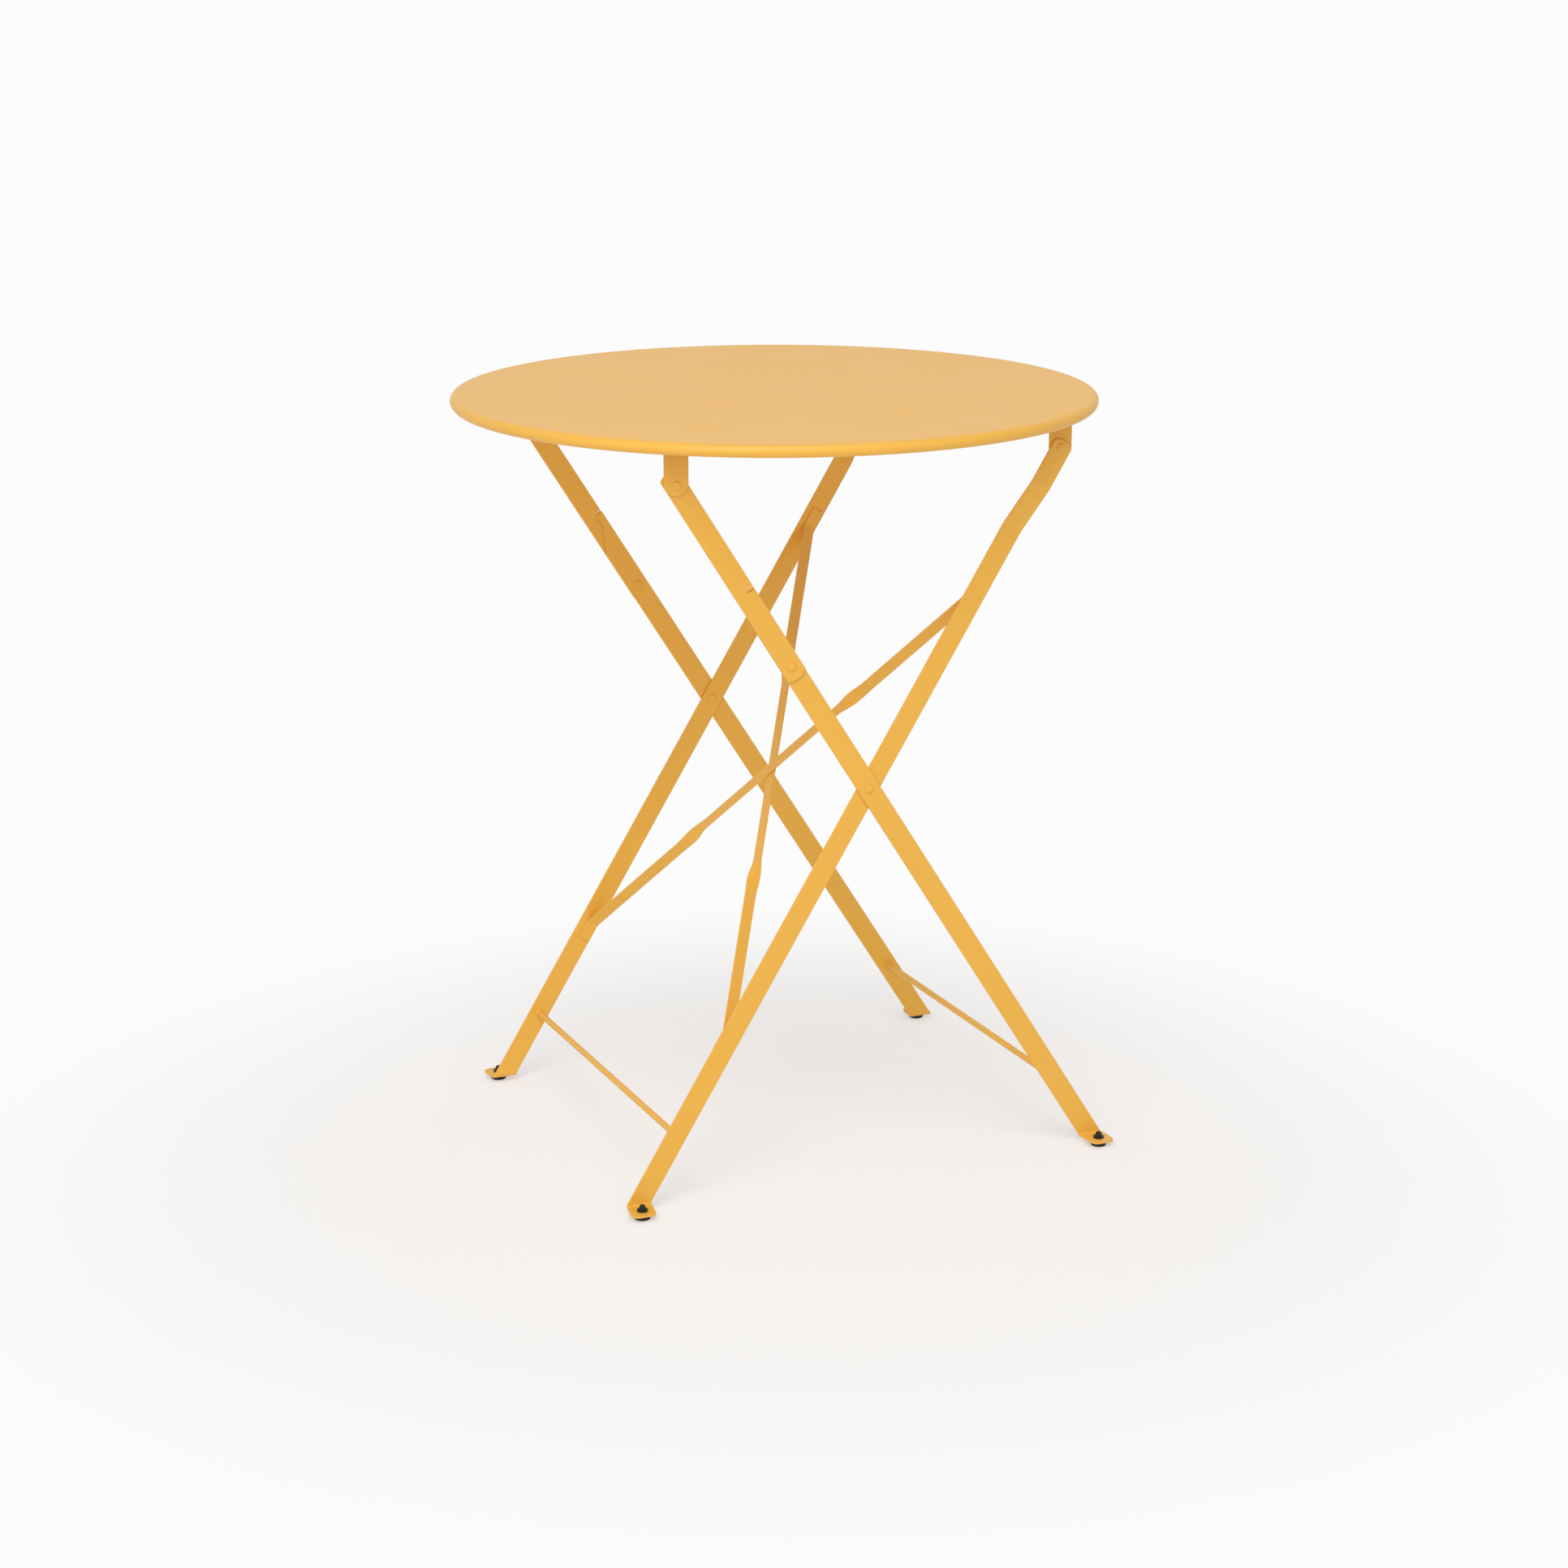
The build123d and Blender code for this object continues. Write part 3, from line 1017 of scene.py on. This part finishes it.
class BISTRO_OT_bars(bpy.types.Operator):
    """Makes the straps, legs and links of flat bar, with rounded edges"""

    bl_idname = "bistro.bars"
    bl_label = "Legs, links and straps"

    def execute(self, context):
        pieces = {"left_top_strap": "strap_left", "right_top_strap": "strap_right"}
        for side in OUTWARD:
            pieces[f"inner_leg_{side}"] = f"leg_inner_{side}"
            pieces[f"outer_leg_{side}"] = f"leg_outer_{side}"
            pieces[f"upper_link_{side}"] = f"link_upper_{side}"
        holes = [CROSS_PIVOT, joint_place("knee_fold"), joint_place("top_tilt"), RIGHT_PIVOT]
        for node, name in pieces.items():
            mesh = coated_bar(frame["nodes"][node].data.copy(), holes)
            place_piece(name, mesh, body_of(node), COAT_SLOT, node)
        return {"FINISHED"}


class BISTRO_OT_braces(bpy.types.Operator):
    """Makes the two twisted strips that cross between the inner legs"""

    bl_idname = "bistro.braces"
    bl_label = "Crossed braces"

    def execute(self, context):
        steel = context.scene.bistro_table.steel
        tree = strip_tree()
        for name, node, facing in (
            ("strip_near_high", "brace_near_high", 1),
            ("strip_far_high", "brace_far_high", -1),
        ):
            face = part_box(node)[1].y - steel.brace_thickness / 2
            end = steel.brace_corner + steel.brace_tab
            corner = steel.brace_corner
            route = [(-end, -face, 0), (-corner, -face, 0), (corner, face, 0), (end, face, 0)]
            bend = math.atan2(face, corner)
            straight = math.hypot(corner, face) - steel.brace_bend * math.tan(bend / 2)
            half_span = straight + steel.brace_bend * bend
            mesh = grown_mesh(
                route_curve("brace route", route),
                tree,
                {
                    "Width": steel.brace_width,
                    "Thickness": steel.brace_thickness,
                    "Bend radius": steel.brace_bend,
                    "Step": steel.brace_step,
                    "Low offset": steel.brace_low_offset,
                    "High offset": steel.brace_high_offset,
                    "Cross offset": steel.brace_cross_offset,
                    "Half span": half_span,
                    "Twist start": steel.twist_start,
                    "Twist end": steel.twist_end,
                    "Material": powder_coat(),
                },
            )
            across = INNER_UP.cross(OUTWARD["near"]) * facing
            axes = Matrix((INNER_UP, across.cross(INNER_UP), across)).transposed().to_4x4()
            middle = CROSS_PIVOT + INNER_UP * steel.brace_middle
            mesh.transform(Matrix.Translation(middle) @ axes)
            place_piece(name, coated_bar(mesh), body_of(node), COAT_SLOT, node)
        return {"FINISHED"}


class BISTRO_OT_rods(bpy.types.Operator):
    """Makes the round tie rods near the feet"""

    bl_idname = "bistro.rods"
    bl_label = "Tie rods"

    def execute(self, context):
        steel = context.scene.bistro_table.steel
        tree = rod_tree()
        for name, node in (("rod_inner", "inner_foot_rod"), ("rod_outer", "outer_foot_rod")):
            low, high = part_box(node)
            middle = box_middle(node)
            ends = [(middle.x, low.y, middle.z), (middle.x, high.y, middle.z)]
            mesh = grown_mesh(
                point_mesh("rod ends", ends, [(0, 1)]),
                tree,
                {
                    "Radius": (high.z - low.z) / 2,
                    "Faces round": steel.rod_steps,
                    "Material": powder_coat(),
                },
            )
            place_piece(name, smooth_finish(mesh, powder_coat()), body_of(node), COAT_SLOT, node)
        return {"FINISHED"}


class BISTRO_OT_rivets(bpy.types.Operator):
    """Makes the rivets of the pivots, one mesh for each moving body"""

    bl_idname = "bistro.rivets"
    bl_label = "Rivets"

    head_steps = 10
    # The two halves of a right top rivet stop this short of each other, so they don't rub.
    half_gap = 0.00005

    def half_section(self, grip, start_head, end_head):
        """A rivet from the outer end of its axis to the inner end, as (radius, height) points."""
        fasteners = bpy.context.scene.bistro_table.fasteners
        power = 2 / fasteners.head_fullness
        head = [
            (
                fasteners.head_radius * math.sin(angle) ** power,
                fasteners.head_height * max(math.cos(angle), 0) ** power,
            )
            for angle in turn_steps(QUARTER_TURN, self.head_steps)
        ]
        shank = fasteners.shank_radius
        outer = [(radius, grip + height) for radius, height in head] if end_head else [(0, grip)]
        inner = [(radius, -height) for radius, height in reversed(head)] if start_head else [(0, 0)]
        return outer + [(shank, grip), (shank, 0)] + inner

    def execute(self, context):
        fasteners = context.scene.bistro_table.fasteners
        kinds = {
            "inner_frame": (("cross_rivet", True, True), ("right_top_rivet_leg_half", False, True)),
            "outer_frame": (("knee_rivet", True, True),),
            "upper_links": (("left_top_rivet", True, True),),
            "tabletop": (("right_top_rivet_ear_half", True, False),),
        }
        for body, rivets in kinds.items():
            meshes, nodes = [], []
            for stem, start_head, end_head in rivets:
                heads = fasteners.head_height * (start_head + end_head)
                low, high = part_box(stem + "_near")
                grip = high.y - low.y - heads
                if not end_head:
                    grip -= self.half_gap
                start = high.y - fasteners.head_height * start_head
                places, tips = [], []
                for side, outward in OUTWARD.items():
                    nodes.append(f"{stem}_{side}")
                    middle = box_middle(nodes[-1])
                    places.append((middle.x, start * -outward.y, middle.z))
                    tips.append((-QUARTER_TURN * outward.y, 0, 0))
                section = self.half_section(grip, start_head, end_head)
                steps = fasteners.turned_steps
                meshes.append(turned_mesh(section, places, tips, steps, powder_coat()))
            mesh = smooth_finish(joined_mesh(meshes), powder_coat())
            place_piece(f"rivets_{body}", mesh, body, COAT_SLOT, *nodes)
        return {"FINISHED"}


class BISTRO_OT_glides(bpy.types.Operator):
    """Makes the push-in plastic glides under the foot plates"""

    bl_idname = "bistro.glides"
    bl_label = "Glides"

    # Rounding of the edge on the floor, and of the other edges.
    floor_edge = 0.0009
    small_edge = 0.0003
    edge_steps = 5
    dome_steps = 8

    def corner(self, radius, height, size, start):
        """A rounded outer edge: an upper one starts at a quarter turn, and a lower one at 0."""
        up = height - size if start > 0 else height + size
        quarter_turn = turn_steps(-QUARTER_TURN, self.edge_steps, start)
        return arc_points((radius - size, up), size, quarter_turn)

    def execute(self, context):
        parts = context.scene.bistro_table.fasteners
        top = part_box("left_glide_near")[1].z
        barb_bottom = parts.disc_height + parts.plate_thickness
        barb_top = barb_bottom + parts.barb_height
        dome = [
            (parts.stem_radius * math.sin(angle), top - parts.stem_radius * (1 - math.cos(angle)))
            for angle in turn_steps(QUARTER_TURN, self.dome_steps)
        ]
        section = dome + [(parts.stem_radius, barb_top)]
        section += self.corner(parts.barb_radius, barb_top, self.small_edge, QUARTER_TURN)
        section += [(parts.barb_radius, barb_bottom), (parts.stem_radius, barb_bottom)]
        section += [(parts.stem_radius, parts.disc_height)]
        section += self.corner(parts.disc_radius, parts.disc_height, self.small_edge, QUARTER_TURN)
        section += self.corner(parts.disc_radius, 0, self.floor_edge, 0)
        section += [(0, 0)]
        for body, stem in (("inner_frame", "left_glide"), ("outer_frame", "right_glide")):
            nodes = [f"{stem}_{side}" for side in OUTWARD]
            places = [box_middle(node) * Vector((1, 1, 0)) for node in nodes]
            tips = [(0, 0, 0)] * len(places)
            mesh = turned_mesh(section, places, tips, parts.turned_steps, moulded_plastic())
            mesh = smooth_finish(mesh, moulded_plastic())
            place_piece(f"glides_{body}", mesh, body, PLASTIC_SLOT, *nodes)
        return {"FINISHED"}


class BISTRO_OT_welds(bpy.types.Operator):
    """Makes the weld beads of the tie rods and the straps"""

    bl_idname = "bistro.welds"
    bl_label = "Welds"

    ring_steps = 48
    # The straps' stitch welds: length, drop below the sheet, and centres along each edge.
    stitch_length = 0.018
    stitch_drop = 0.0006
    stitch_centres = (-0.15, -0.05, 0.05, 0.15)
    ripple_faces = 6
    unevenness = 0.35

    def place_beads(self, body, points, edges, seed):
        """Makes the beads along the runs, as one piece of a body."""
        parts = bpy.context.scene.bistro_table.fasteners
        mesh = grown_mesh(
            point_mesh("weld runs", points, edges),
            bead_tree(),
            {
                "Radius": parts.bead_radius,
                "Ripple pitch": parts.ripple_pitch,
                "Ripple depth": parts.ripple_depth,
                "Step": parts.ripple_pitch / self.ripple_faces,
                "Unevenness": self.unevenness,
                "Seed": float(seed),
                "Material": powder_coat(),
            },
        )
        place_piece(f"welds_{body}", smooth_finish(mesh, powder_coat()), body, COAT_SLOT)

    def execute(self, context):
        rods = {"inner_frame": "inner_foot_rod", "outer_frame": "outer_foot_rod"}
        for seed, (body, node) in enumerate(rods.items()):
            low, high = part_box(node)
            middle = box_middle(node)
            radius = (high.z - low.z) / 2
            points, edges = [], []
            for end in (low.y, high.y):
                first = len(points)
                for step in range(self.ring_steps):
                    angle = 2 * math.pi * step / self.ring_steps
                    across, up = radius * math.cos(angle), radius * math.sin(angle)
                    points.append((middle.x + across, end, middle.z + up))
                    edges.append((first + step, first + (step + 1) % self.ring_steps))
            self.place_beads(body, points, edges, seed)
        points, edges = [], []
        for node in ("left_top_strap", "right_top_strap"):
            low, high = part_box(node)
            height = high.z - self.stitch_drop
            for side in (low.x, high.x):
                for centre in self.stitch_centres:
                    first = len(points)
                    half = self.stitch_length / 2
                    points += [(side, centre - half, height), (side, centre + half, height)]
                    edges.append((first, first + 1))
        self.place_beads("tabletop", points, edges, len(rods))
        return {"FINISHED"}


class BISTRO_OT_stage(bpy.types.Operator):
    """Makes the floor, the soft lights and the camera"""

    bl_idname = "bistro.stage"
    bl_label = "Stage"

    floor_radius = 60.0
    floor_steps = 96
    # The floor shows this share of its own light and shadow up to the start, measured from the
    # centre, and fades into the backdrop by the reach.
    shadow_centre = (-0.08, -0.18, 0.0)
    shadow_start = 0.3
    shadow_reach = 0.95
    shadow_share = 0.58
    # Lights: width as a share of the distance, height of what they face, and then the bearing,
    # the height and the distance of each.
    light_spread = 0.6
    light_target = 0.4
    key_place = (math.radians(-28), math.radians(50), 5.0)
    front_place = (math.radians(-45), math.radians(20), 8.0)

    def seen_ray(self, wiring):
        """1 for rays that show the backdrop: from the camera, in a reflection or through glass."""
        path = wiring.add("ShaderNodeLightPath").outputs
        seen = wiring.math("MAXIMUM", path["Is Camera Ray"], path["Is Glossy Ray"])
        return wiring.math("MAXIMUM", seen, path["Is Transmission Ray"])

    def floor_material(self, studio):
        """Pale floor that keeps the table's shadow and fades into the backdrop away from it."""
        material = bpy.data.materials.new("pale_floor")
        material.use_nodes = True
        material.node_tree.nodes.clear()
        wiring = Wiring(material.node_tree)
        place = wiring.add("ShaderNodeTexCoord").outputs["Object"]
        distance = wiring.add(
            "ShaderNodeVectorMath", {0: place, 1: self.shadow_centre}, operation="DISTANCE"
        )
        away = wiring.span(
            distance.outputs["Value"],
            self.shadow_start,
            self.shadow_reach,
            1.0 - self.shadow_share,
            1.0,
            "SMOOTHSTEP",
        )
        shown = wiring.math("MULTIPLY", away, self.seen_ray(wiring))
        matt = wiring.add("ShaderNodeBsdfDiffuse", {"Color": (*studio.floor_colour, 1)})
        glow = wiring.add(
            "ShaderNodeEmission", {"Color": WHITE, "Strength": studio.backdrop_light}
        )
        surface = wiring.add(
            "ShaderNodeMixShader", {0: shown, 1: matt.outputs[0], 2: glow.outputs[0]}
        )
        wiring.add("ShaderNodeOutputMaterial", {"Surface": surface.outputs[0]})
        return material

    def world(self, studio):
        """Even light from all round, behind a white backdrop."""
        world = bpy.data.worlds.new("studio")
        world.use_nodes = True
        world.node_tree.nodes.clear()
        wiring = Wiring(world.node_tree)
        strength = wiring.span(
            self.seen_ray(wiring), 0.0, 1.0, studio.dome_light, studio.backdrop_light
        )
        sky = wiring.add("ShaderNodeBackground", {"Color": WHITE, "Strength": strength})
        wiring.add("ShaderNodeOutputWorld", {"Surface": sky.outputs[0]})
        return world

    def soft_light(self, name, bearing, height, distance, power):
        """A large square light that faces the table, at two angles and a distance from it."""
        lamp = bpy.data.lights.new(name, "AREA")
        lamp.shape = "SQUARE"
        lamp.size = distance * self.light_spread
        lamp.energy = power
        made = linked_object(name, lamp)
        across = math.cos(height) * math.sin(bearing)
        back = -math.cos(height) * math.cos(bearing)
        away = Vector((across, back, math.sin(height)))
        made.location = away * distance + Vector((0, 0, self.light_target))
        made.rotation_euler = away.to_track_quat("Z", "Y").to_euler()
        made.visible_camera = False

    def execute(self, context):
        studio = context.scene.bistro_table.studio
        floor_shape = bmesh.new()
        bmesh.ops.create_circle(
            floor_shape, cap_ends=True, radius=self.floor_radius, segments=self.floor_steps
        )
        floor_mesh = bpy.data.meshes.new("studio_floor")
        floor_shape.to_mesh(floor_mesh)
        floor_shape.free()
        floor_mesh.materials.append(self.floor_material(studio))
        linked_object("studio_floor", floor_mesh)
        context.scene.world = self.world(studio)
        self.soft_light("key_light", *self.key_place, studio.key_power)
        self.soft_light("front_light", *self.front_place, studio.front_power)
        camera = bpy.data.cameras.new("camera")
        camera.lens = studio.camera_lens
        holder = linked_object("camera", camera)
        holder.location = studio.camera_place
        holder.rotation_euler = (QUARTER_TURN - studio.camera_drop, 0, -studio.camera_turn)
        context.scene.camera = holder
        context.scene.view_settings.view_transform = "Standard"
        return {"FINISHED"}


class BISTRO_PT_table(bpy.types.Panel):
    """Settings and pieces of the bistro table"""

    bl_idname = "BISTRO_PT_table"
    bl_label = "Bistro Table"
    bl_space_type = "VIEW_3D"
    bl_region_type = "UI"
    bl_category = "Bistro Table"

    def draw(self, context):
        settings = context.scene.bistro_table
        for group in (settings.coat, settings.steel, settings.fasteners, settings.studio):
            box = self.layout.box()
            for name in group.__annotations__:
                box.prop(group, name)
        column = self.layout.column()
        for operator in OPERATORS:
            column.operator(operator.bl_idname)


OPERATORS = (
    BISTRO_OT_tabletop,
    BISTRO_OT_bars,
    BISTRO_OT_braces,
    BISTRO_OT_rods,
    BISTRO_OT_rivets,
    BISTRO_OT_glides,
    BISTRO_OT_welds,
    BISTRO_OT_stage,
)
GROUPS = (CoatSettings, SteelSettings, FastenerSettings, StudioSettings, TableSettings)
CLASSES = (*GROUPS, *OPERATORS, BISTRO_PT_table)


def register():
    """Registers the classes and puts the settings on the scene."""
    for cls in CLASSES:
        bpy.utils.register_class(cls)
    bpy.types.Scene.bistro_table = PointerProperty(
        type=TableSettings, name="Bistro table", description="Settings of the bistro table"
    )


def unregister():
    """Takes the settings and classes away."""
    del bpy.types.Scene.bistro_table
    for cls in reversed(CLASSES):
        bpy.utils.unregister_class(cls)


def main():
    """Makes everything in order."""
    register()
    bpy.ops.bistro.tabletop()
    bpy.ops.bistro.bars()
    bpy.ops.bistro.braces()
    bpy.ops.bistro.rods()
    bpy.ops.bistro.rivets()
    bpy.ops.bistro.glides()
    bpy.ops.bistro.welds()
    bpy.ops.bistro.stage()


if __name__ == "__main__":
    main()
